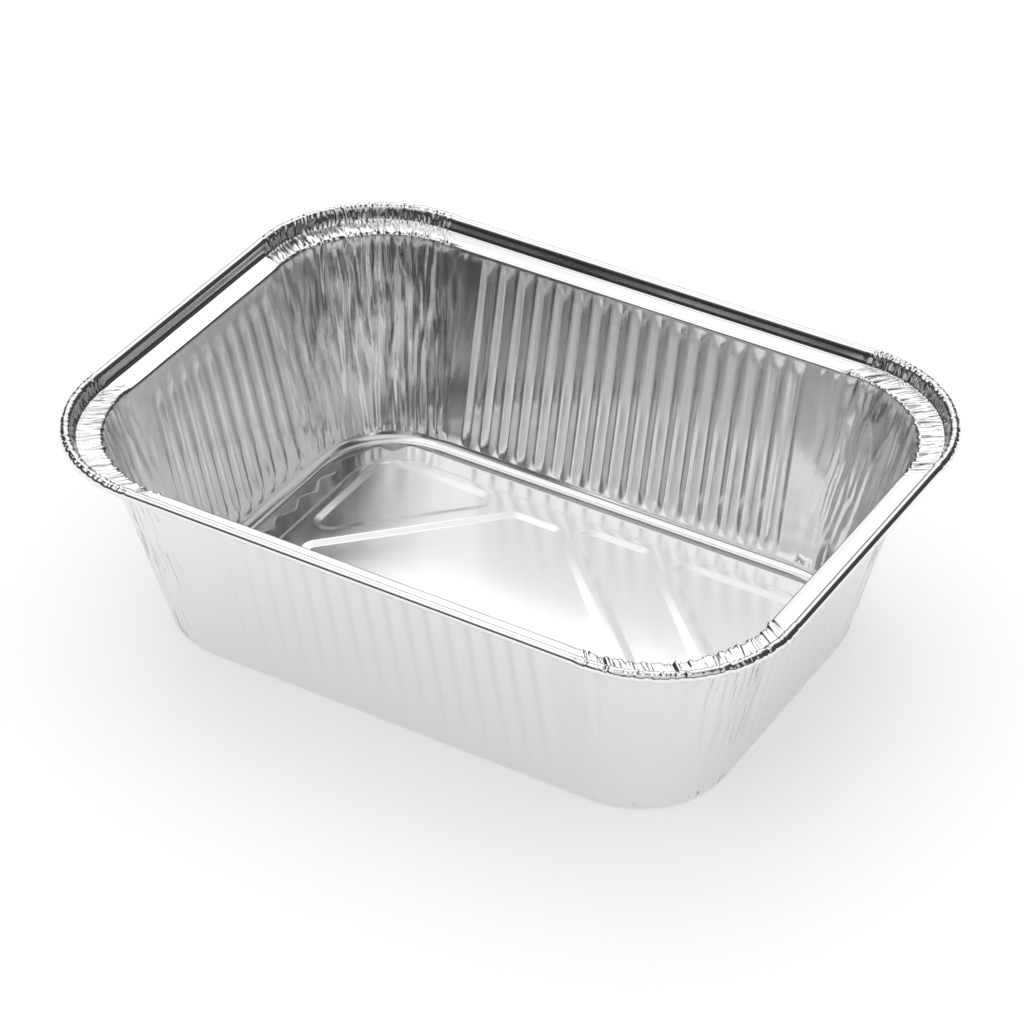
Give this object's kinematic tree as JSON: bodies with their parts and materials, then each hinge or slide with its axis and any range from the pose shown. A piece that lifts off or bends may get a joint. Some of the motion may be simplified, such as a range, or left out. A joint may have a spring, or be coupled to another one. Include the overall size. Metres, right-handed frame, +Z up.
{
  "type": "foil food tray",
  "caption": "Deep rectangular aluminium foil food tray with a beaded rim, a ledge for a lid, ribbed walls and an embossed floor.",
  "frame": {"origin": "centre of the footprint, on the surface the tray stands on", "axes": "+X along the length of the tray, +Y along its width, +Z up out of the open mouth"},
  "size_m": [0.22, 0.1634, 0.0666],
  "materials": {
    "foil": "bright pressed foil"
  },
  "bodies": {
    "root": {"foil_tray": "foil"}
  },
  "joints": []
}
